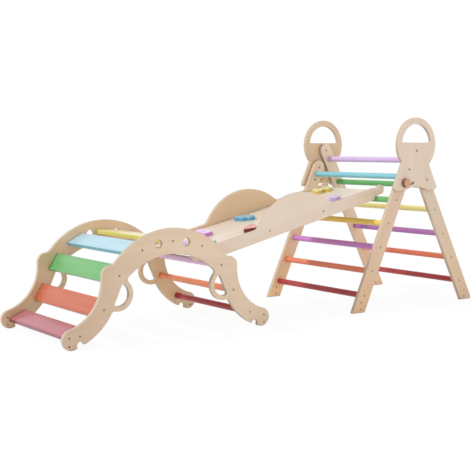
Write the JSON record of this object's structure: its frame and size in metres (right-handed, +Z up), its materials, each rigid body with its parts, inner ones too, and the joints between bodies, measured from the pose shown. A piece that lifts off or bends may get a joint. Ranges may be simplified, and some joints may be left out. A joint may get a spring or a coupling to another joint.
{
  "type": "toddler climbing gym",
  "caption": "Wooden climbing set for toddlers: slatted arch with loop handles, ramp with climbing holds, and a folding ladder frame with coloured rungs and round hand grips.",
  "frame": {"origin": "on the floor, under the middle of the whole set", "axes": "+X along the set from the arch to the ladder, +Y from the front side to the back side, +Z up"},
  "size_m": [2.2714, 0.7208, 0.9028],
  "materials": {
    "ply": "clear satin varnish",
    "knob_wood": "oiled",
    "slat_red": "satin stain",
    "slat_orange": "satin stain",
    "slat_green": "satin stain",
    "slat_blue": "satin stain",
    "slat_yellow": "satin stain",
    "bar_lilac": "satin stain",
    "bar_teal": "satin stain",
    "bar_green": "satin stain",
    "bar_yellow": "satin stain",
    "bar_purple": "satin stain",
    "bar_orange": "satin stain",
    "bar_red": "satin stain",
    "hold_yellow": "satin paint",
    "hold_violet": "satin paint",
    "hold_blue": "satin paint",
    "hold_red": "satin paint",
    "hold_purple": "satin paint",
    "hold_green": "satin paint",
    "steel": "zinc plated"
  },
  "bodies": {
    "front_ladder": {"front_leg_near": "ply", "front_leg_far": "ply", "front_rung_teal": "bar_teal", "front_rung_green": "bar_green", "front_rung_yellow": "bar_yellow", "front_rung_purple": "bar_purple", "front_rung_orange": "bar_orange", "front_rung_red": "bar_red", "front_screws": "steel", "pivot_bolt_near": "steel", "pivot_bolt_far": "steel"},
    "rear_ladder": {"rear_leg_near": "ply", "rear_leg_far": "ply", "rear_rung_lilac": "bar_lilac", "rear_rung_green": "bar_green", "rear_rung_yellow": "bar_yellow", "rear_rung_purple": "bar_purple", "rear_rung_orange": "bar_orange", "rear_rung_red": "bar_red", "rear_screws": "steel", "head_near": "ply", "head_far": "ply", "head_bolts": "steel"},
    "lock_near": {"knob_near": "knob_wood", "lock_bolt_near": "steel"},
    "lock_far": {"knob_far": "knob_wood", "lock_bolt_far": "steel"},
    "ramp": {"ramp_board": "ply", "ramp_rail_near": "ply", "ramp_rail_far": "ply", "ramp_screws": "steel", "hold_yellow": "hold_yellow", "hold_violet": "hold_violet", "hold_blue": "hold_blue", "hold_red": "hold_red", "hold_purple": "hold_purple", "hold_green": "hold_green", "hold_screws": "steel"},
    "arch": {"arch_panel_near": "ply", "arch_panel_far": "ply", "arch_screws": "steel", "slat_yellow": "slat_yellow", "slat_blue": "slat_blue", "slat_green": "slat_green", "slat_orange": "slat_orange", "slat_red": "slat_red", "rod_lilac": "bar_lilac", "rod_purple": "bar_purple", "rod_orange": "bar_orange", "rod_red": "bar_red"}
  },
  "joints": [
    {"name": "ladder_fold", "type": "hinge", "parent": "front_ladder", "child": "rear_ladder", "pos_m": [0.6569, 0, 0.65902], "axis": [0, 1, 0], "range_deg": [0, 48]},
    {"name": "lock_turn_near", "type": "hinge", "parent": "front_ladder", "child": "lock_near", "pos_m": [0.62799, -0.35, 0.59527], "axis": [0, -1, 0], "continuous": true},
    {"name": "lock_turn_far", "type": "hinge", "parent": "front_ladder", "child": "lock_far", "pos_m": [0.62799, 0.35, 0.59527], "axis": [0, 1, 0], "continuous": true},
    {"name": "ramp_lift", "type": "hinge", "parent": "front_ladder", "child": "ramp", "pos_m": [0.59163, 0, 0.51513], "axis": [0, 1, 0], "range_deg": [0, 20]},
    {"name": "arch_push", "type": "slide", "parent": "front_ladder", "child": "arch", "axis": [0, 1, 0], "range_m": [-0.025, 0.09]}
  ]
}
